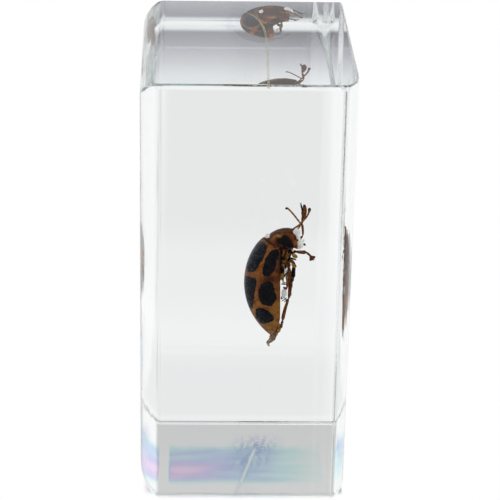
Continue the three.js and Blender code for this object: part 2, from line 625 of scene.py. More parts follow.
def limb_chitin(colours):
    """Legs and antennae: thin translucent brown chitin, darker at the joints."""
    material, tree, gold, dark = new_material("limb chitin", "gold", "dark")
    facing = add_node(tree, "LayerWeight").outputs["Facing"]
    colour = coated(
        tree,
        colours.limb_brown,
        (product(tree, (pattern(tree, "Noise", 0.35, 4.0), 0.38, 0.55)), colours.rim_orange),
        (gold, colours.amber),
        (product(tree, (pattern(tree, "Noise", 0.16, 3.0), 0.40, 0.52, 0.75, 0.0)), colours.limb_dark),
        # Painted shade: thin chitin is drawn darkest where it is seen edge on.
        (product(tree, (facing, 0.45, 0.85, 0.0, 0.85)), colours.limb_dark),
        (dark, colours.limb_black),
    )
    gloss = {"Roughness": 0.15, "IOR": 1.06, "Transmission Weight": 0.2}
    chitin_surface(tree, colour, pattern(tree, "Noise", 0.12, 3.0), gloss)
    return material


def underside_chitin(colours):
    """Underside: dark brown chitin with paler seams and a little dried tissue."""
    material, tree = new_material("underside chitin")
    patches = product(tree, (pattern(tree, "Noise", 0.3, 4.0), 0.44, 0.56))
    colour = coated(tree, colours.limb_brown, (patches, colours.underside_brown))
    chitin_surface(tree, colour, pattern(tree, "Noise", 0.2, 4.0), WETTED_GLOSS, 0.05)
    return material


def eye_facets(colours):
    """Compound eye: black, with fine facets."""
    material, tree = new_material("compound eye")
    colour = coated(tree, colours.shell_black, (pattern(tree, "Noise", 0.2, 3.0), colours.limb_dark))
    # Facets are about 0.02 mm wide and are drawn at 0.05 mm so that they show.
    facets = pattern(tree, "Voronoi", 0.05, 0.0)
    chitin_surface(tree, colour, facets, {"Roughness": 0.2, "IOR": 1.5}, 0.01)
    return material


def wing_membrane(colours):
    """Folded hind wing: a smoky membrane with darker veins."""
    material, tree = new_material("hind wing membrane")
    veins = product(tree, (pattern(tree, "Noise", 0.25, 4.0), 0.35, 0.55))
    colour = coated(tree, colours.wing_grey, (veins, colours.limb_brown))
    gloss = {"Roughness": 0.5, "IOR": 1.35, "Transmission Weight": 0.25}
    chitin_surface(tree, colour, pattern(tree, "Noise", 0.15, 3.0), gloss)
    return material


# ---------------------------------------------------------------- the block


# Points of a ring of the block, on each corner and on each straight, and rings round each end.
CORNER_POINTS, STRAIGHT_POINTS = 19, 30
EDGE_ROWS = 61
# A ring's corners, from the one at +Y +Z by way of the one at -Y +Z: their signs, how far round each
# its points lie, where these are from its centre, and the shares of the straight to the next corner
# at which that one's points lie.
CORNERS = np.array([(1, 1), (-1, 1), (-1, -1), (1, -1)])[:, None]
ARC = np.linspace(0, np.pi / 2, CORNER_POINTS)
TURNS = ARC + np.arange(4)[:, None] * np.pi / 2
DIRECTIONS = np.stack([np.cos(TURNS), np.sin(TURNS)], -1)
SHARES = np.linspace(0, 1, STRAIGHT_POINTS + 2)[1:-1]
# The ripple left by rubbing: how fast it turns round the edge, and how far it wanders along the edge,
# by a sine of Z and one of Y, each over a length in mm. The sine of Z differs between the two ends.
RIPPLE_TURN = 13
WANDER_UP, WANDER_UP_LENGTH, WANDER_SHIFT = 2.2, 8, 1.7
WANDER_SIDEWAYS, WANDER_SIDEWAYS_LENGTH = 1.8, 6
# Grey lines along the edges round the two ends and along the lower front edge: where in the quarter
# turn they lie, their half-width and their strength.
END_LINES = ((0.3, 0.1, 1.0), (1.4, 0.05, 0.5))
FOOT_LINES = ((0.2, 0.12, 1.0), (1.25, 0.12, 1.0))


def edge_line_sum(t, lines):
    """The sum of strength * exp(-((t - middle) / half-width)^2) over the lines."""
    return sum(strength * np.exp(-(((t - middle) / width) ** 2)) for middle, width, strength in lines)


def ring_values(on_corners, on_straights):
    """Values of a ring's points in order: each corner's, and those of the straight that follows it."""
    return np.concatenate([on_corners, on_straights], 1).reshape(-1, *on_corners.shape[2:])


def on_lower_front(values):
    """Values of the points of the lower front corner, as those of a ring that has zero elsewhere."""
    on_corners = np.zeros((4, CORNER_POINTS))
    on_corners[2] = values
    return ring_values(on_corners, np.zeros((4, STRAIGHT_POINTS)))


def eased_reach(reach):
    """How far in the rounding reaches at each point of a ring: a corner's own reach, and beyond it
    that of the next corner, which it goes to by a fifth power, fastest beside the longer one."""
    reach = reach[:, None]
    to_next = np.roll(reach, -1, axis=0) - reach
    eased = np.where(to_next > 0, SHARES**5, 1 - (1 - SHARES) ** 5)
    return ring_values(reach + 0 * ARC, reach + to_next * eased)


def block_skin(settings):
    """The block's rings along X. A ring is the rectangle of the block's Y and Z, pulled in by an
    inset, with round corners (a quarter of an ellipse at the top front one). Towards each end the
    station moves r (1 - cos(t)^e) in from the end face while the inset is r (1 - sin(t)^e), as t goes
    from 0 to a quarter turn and e = 2 / bulge, so that the end's edges are flatter than round. r has
    three values: along X the eased reach, along Y the end's radius at the rear and the taper's depth
    at the front, and along Z the end's radius. The edges were rubbed smooth by hand: each point moves
    in by ripple * sin(2t)^2 * (1 + sin(13t + a wander along the edge)) / 2. Also returned, for each
    point, are how rubbed it is, how far round its edge it lies, from which the scratches are drawn,
    and how strong the grey lines along its edge are."""
    half, middle = (BLOCK_HIGH - BLOCK_LOW)[1:] / 2, (BLOCK_HIGH + BLOCK_LOW)[1:] / 2
    sharp, foot = settings.sharp_radius, settings.foot_radius
    lip = (settings.lip_length, settings.lip_drop)
    radii = np.array([(sharp, sharp), lip, (foot, foot), (sharp, sharp)])[:, None]
    outwards = ring_values(DIRECTIONS, np.repeat(DIRECTIONS[:, -1:], STRAIGHT_POINTS, axis=1))
    # For each end: its corners' reach along X and along Y, and its edges' reach along Z.
    floor, mouth, depth = settings.floor_radius, settings.mouth_radius, settings.taper_depth
    taper = (settings.taper_width, depth)
    moulded = np.array([(floor, floor), (floor, depth), (floor, depth), (floor, floor)])
    polished = np.array([(mouth, mouth), taper, taper, (mouth, mouth)])
    quarter = np.linspace(0, np.pi / 2, EDGE_ROWS)
    ends = (
        (moulded, floor, quarter, BLOCK_LOW[0], -1),
        (polished, mouth, quarter[::-1], BLOCK_HIGH[0], 1),
    )
    power = 2 / settings.edge_bulge
    rings, rubbed, turned_by, edge_lines = [], [], [], []
    for reaches, upright, t, end, side in ends:
        insets = np.stack([reaches[:, 1:], np.full((4, 1), upright)], -1)
        inset = (1 - np.sin(t) ** power)[:, None, None, None] * insets
        corners = CORNERS * (half - radii - inset) + radii * DIRECTIONS
        after = np.roll(corners, -1, axis=1)[:, :, :1]
        straights = corners[:, :, -1:] + (after - corners[:, :, -1:]) * SHARES[:, None]
        across = np.concatenate([corners, straights], 2).reshape(len(t), -1, 2)
        y, z = across[..., 0] / MM, across[..., 1] / MM
        wander = WANDER_UP * np.sin(z / WANDER_UP_LENGTH + WANDER_SHIFT * side)
        wander = wander + WANDER_SIDEWAYS * np.sin(y / WANDER_SIDEWAYS_LENGTH)
        t = t[:, None]
        ripple = np.sin(2 * t) ** 2 * (1 + np.sin(RIPPLE_TURN * t + wander)) / 2
        sink = settings.edge_ripple * ripple
        into = eased_reach(reaches[:, 0]) * (1 - np.abs(np.cos(t)) ** power) + sink * np.cos(t)
        across = middle + across - outwards * (sink * np.sin(t))[..., None]
        rings.append(np.concatenate([(end - side * into)[..., None], across], -1))
        # The flat end faces, where t is zero, are neither rubbed nor lined in grey.
        foot_rubbed = on_lower_front(np.sin(2 * ARC) ** 2) * np.sign(t)
        rubbed.append(np.maximum(np.sin(2 * t) ** 2, foot_rubbed))
        turned_by.append(t * floor + on_lower_front(foot * ARC))
        line_weight = np.maximum(edge_line_sum(t, END_LINES), on_lower_front(edge_line_sum(ARC, FOOT_LINES)))
        edge_lines.append(line_weight * np.sign(t))
    return (np.concatenate(grids) for grids in (rings, rubbed, turned_by, edge_lines))


# Rows of the seam up the block, as shares of its height, closer together towards both ends.
SEAM_ROWS = (1 - np.cos(np.linspace(0, np.pi, 120))) / 2
SEAM_COLUMNS = 160
# The seam ends, and the cured skin on the foot lies, this far inside the block.
SEAM_CLEARANCE, FILM_CLEARANCE = 0.03 * MM, 0.12 * MM
FILM_THICKNESS, FILM_WARP = 0.02 * MM, 0.002 * MM
# Lengths in mm over which the seam's drops fade from the block's back, top, foot and front.
BACK_FADE, TOP_FADE, FOOT_FADE, FRONT_FADE = 3, 1.6, 3, 9
# How far up from the foot the seam is creased, and how far back from the front, in mm.
CREASED_UP, CREASED_BACK = 5, 16


def seam_skin(settings):
    """The seam between the pours, how far each of its points is creased, and the pale strip along its
    top edge that carries a painted highlight. The seam is a flat sheet, turned a little about Z. It
    falls back to -X by a drop that fades as exp(-distance / fade) away from the top back edge, and by
    one that fades so from the foot and that is less behind the front. Its corners are pulled in to the
    block's rounding. The strip is an ellipse carried along a row of the sheet just below its top."""
    low, high = BLOCK_LOW + SEAM_CLEARANCE, BLOCK_HIGH - SEAM_CLEARANCE
    y = np.linspace(low[1], high[1], SEAM_COLUMNS)
    z = low[2] + (high[2] - low[2]) * SEAM_ROWS
    y, z = np.meshgrid(y, z, indexing="ij")
    front, back = (y - BLOCK_LOW[1]) / MM, (BLOCK_HIGH[1] - y) / MM
    foot, top = (z - BLOCK_LOW[2]) / MM, (BLOCK_HIGH[2] - z) / MM
    drop = settings.seam_back_drop * np.exp(-back / BACK_FADE - top / TOP_FADE)
    less_behind = 0.4 + 0.6 * np.exp(-front / FRONT_FADE)
    drop = drop + settings.seam_foot_drop * np.exp(-foot / FOOT_FADE) * less_behind
    x = settings.seam_offset + math.tan(settings.seam_turn) * front * MM - drop
    middle = (BLOCK_HIGH + BLOCK_LOW)[1:] / 2
    radius = settings.foot_radius
    corner = (BLOCK_HIGH - BLOCK_LOW)[1:] / 2 - radius
    across = np.stack([y, z], -1) - middle
    past = across - np.clip(across, -corner, corner)
    reach = np.maximum(np.linalg.norm(past, axis=-1, keepdims=True) / (radius - SEAM_CLEARANCE), 1)
    sheet = np.concatenate([x[..., None], middle + across - past + past / reach], -1)
    creased = np.exp(-((foot / CREASED_UP) ** 2)) * np.clip(1.2 - front / CREASED_BACK, 0, 1)
    part = thin_shell(sheet, sheet - settings.seam_thickness * np.array([1, 0, 0]))
    width = settings.seam_edge_highlight
    highlight_strip = sweep(sheet[2:-2, -3] - [0, 0, width], width, width / 2, (1, 0, 0), 8)
    return part, np.tile(creased.ravel(), 2), highlight_strip


def film_skin(settings):
    """The cured skin over the bottom face: a flat sheet, just inside the block, with a faint warp
    that is the product of a sine of X and one of Y."""
    inset = settings.floor_radius
    x = np.linspace(BLOCK_LOW[0] + inset, BLOCK_HIGH[0] - inset, 40)
    y = np.linspace(BLOCK_LOW[1] + inset, BLOCK_HIGH[1] - inset, 50)
    x, y = np.meshgrid(x, y, indexing="ij")
    warp = FILM_WARP * np.sin(x / (2 * MM)) * np.sin(y / (3 * MM))
    sheet = np.stack([x, y, BLOCK_LOW[2] + FILM_CLEARANCE + warp], -1)
    return thin_shell(sheet, sheet + [0, 0, FILM_THICKNESS])


# ---------------------------------------------------------------- the beetle


def place(points, settings):
    """Beetle coordinates in millimetres as points of the row's frame in metres: the head axis leans
    by the tilt and the lean from +Z, and the back is turned to -X."""
    head = np.array([-math.tan(settings.lean), math.tan(settings.tilt), 1.0])
    head /= np.linalg.norm(head)
    back = np.array([-1.0, 0, 0])
    back -= (back @ head) * head
    back /= np.linalg.norm(back)
    right = np.cross(head, back)
    return np.array(settings.centre) + MM * np.asarray(points) @ np.array([head, right, back])


def beetle_piece(name, part, material, attributes=None):
    """A piece of the beetle, from a skin in beetle coordinates, with its faces turned outwards."""
    points, faces = part
    points = place(points, current().beetle)
    make_object(name, outward((points, faces)), material, attributes)


def lobes(measures):
    """A lumpy piece made of ellipsoids, from the centre and half-axes of each."""
    return joined([blob(centre, radii) for centre, radii in measures])


def limb_shades(part, dark, gold):
    """The attributes of a limb that is equally dark and golden all over."""
    count = len(part[0])
    return {"dark": np.full(count, dark), "gold": np.full(count, gold)}


# The wing cases' outline in mm: how far each half of the dome reaches from its middle, and how full
# it is, seen from the side and then from above.
NOSE_REACH, NOSE_FULLNESS = 5.4, 0.52
TAIL_REACH, TAIL_FULLNESS = 6.1, 0.72
PLAN_MIDDLE, PLAN_NOSE, PLAN_TAIL = 0.3, 5.3, 6.05
PLAN_NOSE_FULLNESS, PLAN_TAIL_FULLNESS = 0.40, 0.58
TAIL_TIP = -5.66
# Where its base lies on the back, and how much further back at the rim.
BASE, BASE_CUT = 4.8, 0.75
# The power of its cross-section: 2 is an ellipse, and more is squarer.
SHELL_SQUARENESS = 2.25
# The gap beside the seam on the back, and the least height of the dome over its rim.
SEAM_GAP, LEAST_HEIGHT = 0.012, 0.04
# Where along the body the lower rim starts to rise towards the tip, over what length and how far.
RIM_RISE_START, RIM_RISE_LENGTH, RIM_RISE = -3.2, 2.45, 0.88


def dome(u, nose, tail, nose_fullness, tail_fullness):
    """(1 - (u / reach)^2)^fullness, with one reach and fullness ahead of zero and one behind it."""
    reach = np.where(u > 0, nose, tail)
    fullness = np.where(u > 0, nose_fullness, tail_fullness)
    return np.maximum(1 - (u / reach) ** 2, 0) ** fullness


def elytron_grid(settings, rows=170, columns=80):
    """The outer skin of the right wing case: along it u goes from the base to the tip by a sine, and
    across it a quarter of a superellipse goes from the seam on the back, height H(u), to the rim,
    width B(u). Both H and B are domes of u. The base is cut back towards the rim."""
    along = np.sin(np.linspace(0, np.pi / 2, rows))[:, None]
    across = np.linspace(0, 1, columns)[None]
    base = BASE - BASE_CUT * across**2
    u = base + (TAIL_TIP - base) * along
    high = settings.height / MM * dome(u, NOSE_REACH, TAIL_REACH, NOSE_FULLNESS, TAIL_FULLNESS)
    wide = settings.half_width / MM * dome(
        u - PLAN_MIDDLE, PLAN_NOSE, PLAN_TAIL, PLAN_NOSE_FULLNESS, PLAN_TAIL_FULLNESS
    )
    rim = RIM_RISE * np.maximum((RIM_RISE_START - u) / RIM_RISE_LENGTH, 0) ** 2
    power = 2 / SHELL_SQUARENESS
    turn = across * np.pi / 2
    v = SEAM_GAP + wide * np.sin(turn) ** power
    w = rim + np.maximum(high - rim, LEAST_HEIGHT) * np.cos(turn) ** power
    return np.stack([u, v, w], -1)


# The right wing case's spots, each a few points of its outline: (along the body from the middle,
# across from the seam over the back), in mm on the shell.
SPOTS = {
    "shoulder, inner": (
        (4.55, 0.8), (4.3, 0.3), (3.3, 0.1), (2.3, 0.2), (1.7, 0.8), (1.40, 1.85),
        (1.5, 2.5), (1.75, 2.85), (2.3, 3.12), (3.0, 3.15), (3.7, 2.88), (4.35, 2.1),
    ),
    "shoulder, outer": (
        (3.95, 3.6), (3.45, 4.2), (2.83, 4.62), (2.18, 4.85), (1.65, 4.85), (1.3, 4.6),
        (1.15, 4.15), (1.38, 3.8), (1.85, 3.7), (2.3, 3.6), (2.79, 3.45), (3.32, 3.32), (3.85, 3.3),
    ),
    "middle, inner": (
        (0.8, 0.8), (0.95, 2.0), (0.85, 3.1), (0.35, 3.26), (-0.55, 3.03), (-1.34, 2.67),
        (-2.05, 2.25), (-2.54, 1.6), (-2.8, 0.8), (-2.4, 0.35), (-1.0, 0.3), (0.2, 0.4),
    ),
    "middle, outer": (
        (-0.7, 5.3), (-1.22, 5.25), (-1.67, 4.95), (-2.0, 4.5), (-2.05, 4.05), (-1.87, 3.65), (-1.47, 3.4),
        (-0.97, 3.38), (-0.37, 3.5), (0.2, 3.75), (0.52, 4.15), (0.6, 4.6), (0.48, 5.0), (-0.07, 5.25),
    ),
    "tail": (
        (-2.8, 2.05), (-2.38, 2.55), (-2.25, 3.2), (-2.42, 3.7), (-2.95, 4.0), (-3.4, 3.85),
        (-3.82, 3.4), (-4.02, 2.6), (-4.2, 1.85), (-4.1, 1.4), (-3.75, 1.3), (-3.3, 1.5),
    ),
}


def elytron(settings, side):
    """One wing case as a closed thin shell; side is 1 for the right one. Its pattern's attributes
    come from where a point is along the body, and from its arc, which is how far it is from the seam
    over the back: the distance to the nearest spot's outline, and how far it is stained between two
    spots, paler towards the tail, dark at the edge beside the shoulder, and how much painted sheen it
    gets over the back."""
    outer = elytron_grid(settings)
    normal = grid_normals(outer)
    normal *= np.sign(np.sum(normal[..., 2]))
    inner = outer - normal * settings.shell_thickness / MM
    step = np.linalg.norm(np.diff(outer, axis=1), axis=-1)
    arc = np.concatenate([np.zeros((len(outer), 1)), np.cumsum(step, axis=1)], axis=1)
    along = outer[..., 0]
    attributes = {
        "spot": np.min([outline_distance(along, arc, outline) for outline in SPOTS.values()], axis=0),
        "smear": np.exp(-(((along - 0.85) / 0.5) ** 2) - ((arc - 4.7) / 1.1) ** 2),
        "tail": np.clip((0.5 - along) / 5.0, 0, 1),
        "edge": np.clip((along - 0.2) / 1.5, 0, 1) * np.clip((arc / arc[:, -1:] - 0.9) / 0.08, 0, 1),
        "sheen": 0.08 + 0.82 * np.exp(-((arc / 2.0) ** 2)),
    }
    attributes = {key: np.tile(grid.ravel(), 2) for key, grid in attributes.items()}
    flip = np.array([1, side, 1])
    return thin_shell(outer * flip, inner * flip), attributes


# The pronotum's black blotch: (from its rear to its front, from its middle line to its side), in mm.
PRONOTUM_BLOTCH = (
    (0.81, 2.32), (1.23, 2.24), (1.71, 2.05), (2.0, 2.24), (2.13, 2.9),
    (2.34, 3.5), (2.34, 4.2), (1.4, 4.2), (1.0, 3.6), (0.69, 3.2), (0.62, 2.7),
)


def pronotum():
    """The pronotum: its middle line runs w = 1.5 - 2.95 t, u = 5.79 - 1.9 (t - 0.75)^2 from rear to
    front, and to each side it falls away from the head by a drop times 1 - cos. Its pattern is told
    by t and by how far aside a point is, in mm: the distance to the black blotch, the pale rim at the
    front, the golden patch over the blotch, a dark band along the middle, and painted shade in the gap
    along its rear edge beside the wing cases."""
    t = np.linspace(0, 1, 70)[:, None]
    turn = np.linspace(-np.pi / 2, np.pi / 2, 110)[None]
    sideways = np.sin(turn)
    drop = 0.72 + 2.05 * t - 0.9 * t**2
    width = 2.75 - 0.7 * t**2
    u = 5.79 - 1.9 * (t - 0.75) ** 2 - drop * (1 - np.cos(turn) ** 0.9)
    v = width * sideways
    w = 1.5 - 2.95 * t - (0.9 * (1 - t) + 0.35 * t) * sideways**2
    outer = np.stack([u, v, w], -1)
    normal = grid_normals(outer)
    normal *= np.sign(np.sum(normal[..., 0]))
    part = thin_shell(outer, outer - 0.14 * normal)
    aside = 2.5 * np.abs(turn) + 0 * t
    attributes = {
        "spot": outline_distance(3 * t + 0 * turn, aside, PRONOTUM_BLOTCH),
        "rim": np.clip((t - 0.8) / 0.06, 0, 1) * np.clip((aside - 2.0) / 0.6, 0, 1),
        "gold": np.exp(-(((t - 0.38) / 0.2) ** 2) - ((aside - 1.75) / 0.4) ** 2),
        # Dark along the middle line, and painted shade in the gap at the rear edge beside the wing cases.
        "crown_and_gap_shade": 0.6 * np.clip((1.3 - aside) / 0.6, 0, 1) + np.clip(1 - t / 0.05, 0, 1),
    }
    return part, {key: np.tile(grid.ravel(), 2) for key, grid in attributes.items()}


def limb_segment(start, end, base, belly, tip, flat, bend=0.0):
    """A leg segment: a tube from start to end whose half-width goes from base through belly at the
    middle to tip as a parabola, flat times as thick as wide, with round ends, and bowed to one side
    by a parabola of bend times its length."""
    across = (0, 1, 0)
    start, end = np.asarray(start, float), np.asarray(end, float)
    t = np.linspace(0, 1, 14)
    bow = np.cross(end - start, across) * bend
    path = start + (end - start) * t[:, None] + bow * (4 * t * (1 - t))[:, None]
    radius = base * (1 - t) * (1 - 2 * t) + belly * 4 * t * (1 - t) + tip * t * (2 * t - 1)
    radius = radius * np.clip(np.sqrt(1 - (2 * t - 1) ** 8), 0.3, 1)
    return sweep(path, radius, radius * flat, across, 12)


def tarsus(points, size, flare):
    """A foot along a few points: three flat lobes whose half-width grows as t^1.5 to a round end, the
    last of them flare times wider, and two hooked claws."""
    path = curve_through(points, 40)
    parts = []
    # Each lobe starts one point before the end of the one above it.
    for first, last, widen in ((0, 13, 1.0), (12, 25, 1.0), (24, 39, flare)):
        stretch = path[first : last + 1]
        t = np.linspace(0, 1, len(stretch))
        radius = size * (0.55 + (1.2 * widen - 0.55) * t**1.5) * np.clip(np.sqrt(1 - t**8), 0.3, 1)
        aside = np.cross(stretch[-1] - stretch[0], (0, 1, 0))
        parts.append(sweep(stretch, radius, size * 0.6 + 0 * t, aside, 12))
    heading = path[-1] - path[-6]
    heading /= np.linalg.norm(heading)
    aside = np.cross(heading, (0, 1, 0))
    radius = np.linspace(0.035, 0.012, 12)
    for side in (-1, 1):
        hook = [path[-1], path[-1] + heading * 0.08 + aside * side * 0.09]
        hook.append(hook[1] + heading * 0.08 - aside * side * 0.06)
        parts.append(sweep(curve_through(hook, 12), radius, radius, (0, 1, 0), 8))
    return parts


# Each leg: its hip, knee and ankle; the foot's points; the half-widths of its thigh, shin and foot
# and how far the foot flares; how golden its thigh and its shin are, and how dark its shin and the
# last lobe of its foot are. Beetle coordinates in mm.
LEGS = {
    "leg_front_right": (
        ((3.28, 1.1, -1.0), (3.56, 2.0, -1.60), (3.42, 1.6, -2.66)),
        ((3.16, 1.35, -2.93), (2.98, 1.25, -3.08), (2.58, 1.15, -3.38)),
        (0.24, 0.22, 0.15, 3.0),
        (0.0, 0.05, 0.0, 0.2),
    ),
    "leg_middle_right": (
        ((2.76, 1.2, -0.8), (2.30, 2.5, -1.46), (0.85, 2.6, -1.33)),
        ((0.45, 2.5, -1.18), (-0.35, 2.4, -1.05), (-1.15, 2.3, -0.96)),
        (0.22, 0.24, 0.2, 1.0),
        (0.5, 0.0, 1.0, 0.1),
    ),
    "leg_hind_right": (
        ((2.04, 1.4, -0.87), (-1.41, 2.5, -0.87), (-3.80, 2.0, -0.28)),
        ((-4.10, 1.95, -0.2), (-4.35, 1.9, -0.16), (-4.55, 1.85, -0.1)),
        (0.24, 0.20, 0.17, 1.2),
        (0.1, 0.2, 0.0, 0.3),
    ),
    "leg_front_left": (
        ((3.73, -1.2, -1.74), (4.7, -2.0, -2.45), (5.79, -3.0, -2.40)),
        ((6.30, -3.3, -2.45), (6.80, -3.5, -2.46), (7.25, -3.7, -2.42), (7.80, -4.0, -2.31)),
        (0.16, 0.14, 0.14, 0.6),
        (0.0, 0.1, 0.1, 1.0),
    ),
    "leg_middle_left": (
        ((2.26, -1.1, -0.93), (1.05, -2.4, -0.95), (0.02, -2.3, -0.38)),
        ((-0.3, -2.3, -0.47), (-0.35, -2.2, -0.67), (-0.29, -2.1, -0.88)),
        (0.14, 0.07, 0.06, 1.0),
        (0.3, 0.0, 0.9, 0.5),
    ),
    "leg_hind_left": (
        ((0.64, -1.2, -0.73), (-1.1, -2.4, -0.82), (-2.16, -2.4, -0.23)),
        ((-2.10, -2.4, -0.40), (-1.99, -2.3, -0.59), (-2.23, -2.3, -0.78)),
        (0.14, 0.07, 0.06, 1.0),
        (0.2, 0.1, 0.6, 0.5),
    ),
}
# The hairy pad beside the raised foot, from the foot's root to its end, and its half-width there.
FOOT_PAD = (
    (5.95, -3.1, -2.42), (6.4, -3.25, -2.55), (6.9, -3.5, -2.64), (7.35, -3.7, -2.68), (7.74, -3.9, -2.66),
)
PAD_WIDTH = 0.05 + 0.2 * np.sin(np.pi * np.linspace(0.05, 0.9, 30))
PAD_THICKNESS = 0.05


def leg(bones, foot, widths, shades):
    """One leg: a thick thigh, a shin that widens towards the ankle, and the foot. Also how dark and
    how golden each point is: the joints and the claws are darker than the rest."""
    hip, knee, ankle = bones
    thigh, shin, sole, flare = widths
    golden_thigh, golden_shin, dark_shin, dark_toe = shades
    # The hip, the thigh, the shin, the foot's three lobes and its two claws.
    parts = [
        blob(hip, (0.3, 0.34, 0.26), 10, 14),
        limb_segment(hip, knee, 0.8 * thigh, thigh, 0.7 * thigh, 0.85, 0.05),
        limb_segment(knee, ankle, 0.7 * shin, shin, 1.1 * shin, 0.85, -0.03),
        *tarsus([ankle, *foot], sole, flare),
    ]
    counts = [len(skin) for skin, _ in parts]
    skin, faces = joined(parts)
    near = np.min([np.linalg.norm(skin - np.array(p), axis=1) for p in (knee, ankle)], axis=0)
    dark = np.repeat([0.3, 0, dark_shin, dark_shin / 2, dark_toe / 2, dark_toe, 1, 1], counts)
    attributes = {
        "dark": np.clip(np.maximum(dark, 1.0 - near / 0.25), 0, 1),
        "gold": np.repeat([0.2, golden_thigh, *[golden_shin] * 2, *[golden_shin / 2] * 4], counts),
    }
    return (skin, faces), attributes


# Round pieces of the body: centre and half-axes of each of their lobes.
LOBES = {
    "head": (((4.6, 0, -1.3), (0.75, 1.1, 0.62)), ((3.95, 0, -1.7), (0.35, 0.6, 0.3))),
    "eye_right": (((4.6, 1.2, -1.76), (0.18, 0.3, 0.17)),),
    "eye_left": (((4.6, -1.2, -1.76), (0.18, 0.3, 0.17)),),
    "thorax_front": (((4.2, 0, -0.7), (0.9, 2.2, 0.9)), ((3.5, 0, -0.9), (0.7, 1.0, 0.5))),
    "thorax_rear": (((2.9, 0, -0.1), (1.2, 2.5, 1.0)), ((1.9, 0, -0.2), (1.2, 1.2, 0.6))),
    "abdomen_tip": (((-4.85, 0, 0.14), (0.55, 1.6, 0.32)),),
}

# The right one of the two palps below the mouth, and its half-thickness and its half-width from its
# root to its tip.
PALP = ((4.0, 0.35, -1.9), (4.08, 0.5, -2.25), (4.0, 0.45, -2.65))
PALP_THICKNESS = 0.06
PALP_WIDTH = np.linspace(0.05, 0.1, 20)

# How golden each antenna is, and its points from the head to the end of its club.
ANTENNAE = {
    "antenna_right": (
        0.1,
        (
            (5.1, 0.55, -1.2), (5.7, 0.35, -1.41), (5.93, 0.0, -1.79),
            (6.11, -0.6, -2.14), (6.36, -1.2, -2.44), (6.59, -1.9, -2.75),
            (6.84, -2.4, -2.96), (7.19, -2.9, -3.12), (7.5, -3.1, -3.16),
        ),
    ),
    "antenna_left": (
        0.7,
        (
            (5.0, -0.3, -1.5), (5.4, -0.3, -1.71), (5.83, -0.7, -2.07),
            (6.1, -0.9, -2.18), (6.45, -1.05, -1.93), (6.96, -1.25, -1.55),
            (7.41, -1.4, -1.16), (7.67, -1.45, -0.88), (7.63, -1.5, -0.66),
        ),
    ),
}


def antenna(points, golden):
    """A feeler of eleven bead-like joints that ends in a club: its half-width is about 0.1 mm with a
    ripple for each joint, and swells in the last quarter by a bell curve. The less golden antenna has
    the thicker club. Its end is dark."""
    path = curve_through(points, 110)
    t = np.linspace(0, 1, 110)
    club = np.exp(-(((t - 0.93) / 0.08) ** 2)) * (1.1 - golden)
    radius = 0.092 + 0.022 * np.abs(np.sin(11 * np.pi * t)) + 0.1 * club
    radius *= np.clip(np.sqrt(1 - (2 * t - 1) ** 20), 0.3, 1)
    part = sweep(path, radius, radius * 0.85, (0, 1, 0), 12)
    dark = np.concatenate([np.repeat(np.clip((t - 0.87) / 0.04, 0, golden + 0.3), 12), [0, 1]])
    return part, {"dark": dark, "gold": np.full(len(dark), golden)}


# Plates and ridges of the hips and scraps beside them, and what shows of the legs behind: start,
# end and half-width of each in mm, how golden it is and how dark.
HIP_PLATES = (
    ((3.34, 2.50, -1.21), (2.98, 2.50, -1.75), 0.21, 1.0, 0.0),
    ((2.40, 2.80, -0.30), (1.99, 2.80, -0.36), 0.13, 1.0, 0.0),
    ((2.42, 2.70, -1.17), (1.93, 2.70, -1.57), 0.17, 1.0, 0.0),
    ((1.90, 2.80, -0.32), (1.32, 2.80, -0.15), 0.17, 0.0, 1.0),
    ((1.42, 2.90, -0.24), (0.66, 2.90, -0.06), 0.20, 1.0, 0.0),
    ((1.58, 2.50, -0.81), (0.84, 2.50, -0.33), 0.07, 0.0, 1.0),
    ((0.95, 2.50, -0.36), (0.26, 2.50, -0.29), 0.06, 0.0, 1.0),
    ((0.23, 2.60, -0.10), (0.18, 2.60, -0.73), 0.08, 0.0, 1.0),
    ((-0.15, 2.40, -0.31), (-0.37, 2.40, -0.74), 0.12, 0.1, 0.0),
    ((-1.25, 2.50, -0.74), (-1.66, 2.50, -0.13), 0.05, 0.0, 1.0),
    ((-1.29, 2.50, -0.96), (-1.76, 2.50, -0.41), 0.07, 0.0, 0.8),
    ((3.80, 2.90, 0.10), (2.95, 2.90, 0.02), 0.12, 0.3, 0.0),
    ((3.85, 2.95, -0.20), (2.85, 2.95, -0.05), 0.08, 0.0, 1.0),
    ((3.89, 2.90, -0.40), (3.11, 2.90, -0.30), 0.12, 0.25, 0.0),
    ((3.79, 2.95, -0.65), (2.64, 2.95, -0.20), 0.07, 0.0, 1.0),
    ((3.73, 2.90, -0.70), (3.15, 2.90, -0.65), 0.11, 0.2, 0.0),
    ((3.56, 2.80, -1.00), (2.51, 2.80, -0.45), 0.09, 0.6, 0.0),
    ((3.40, 2.80, -1.10), (2.41, 2.80, -0.70), 0.09, 0.0, 1.0),
    ((3.02, 2.70, -1.26), (2.39, 2.70, -0.96), 0.09, 0.3, 0.0),
    ((3.02, 2.70, -1.01), (2.75, 2.70, -1.66), 0.09, 0.0, 1.0),
    ((2.54, 2.70, -1.36), (2.01, 2.70, -1.65), 0.07, 0.0, 1.0),
    ((2.74, 2.90, -0.10), (2.06, 2.90, -0.05), 0.08, 0.0, 1.0),
    ((2.90, 2.90, -0.26), (2.47, 2.90, -0.42), 0.10, 0.9, 0.0),
    ((2.46, 2.80, -0.60), (1.98, 2.80, -0.70), 0.09, 0.3, 0.2),
    ((2.35, 2.80, -0.55), (1.83, 2.80, -0.52), 0.07, 0.0, 1.0),
    ((3.91, 2.60, -0.91), (3.43, 2.60, -1.16), 0.12, 0.0, 1.0),
)


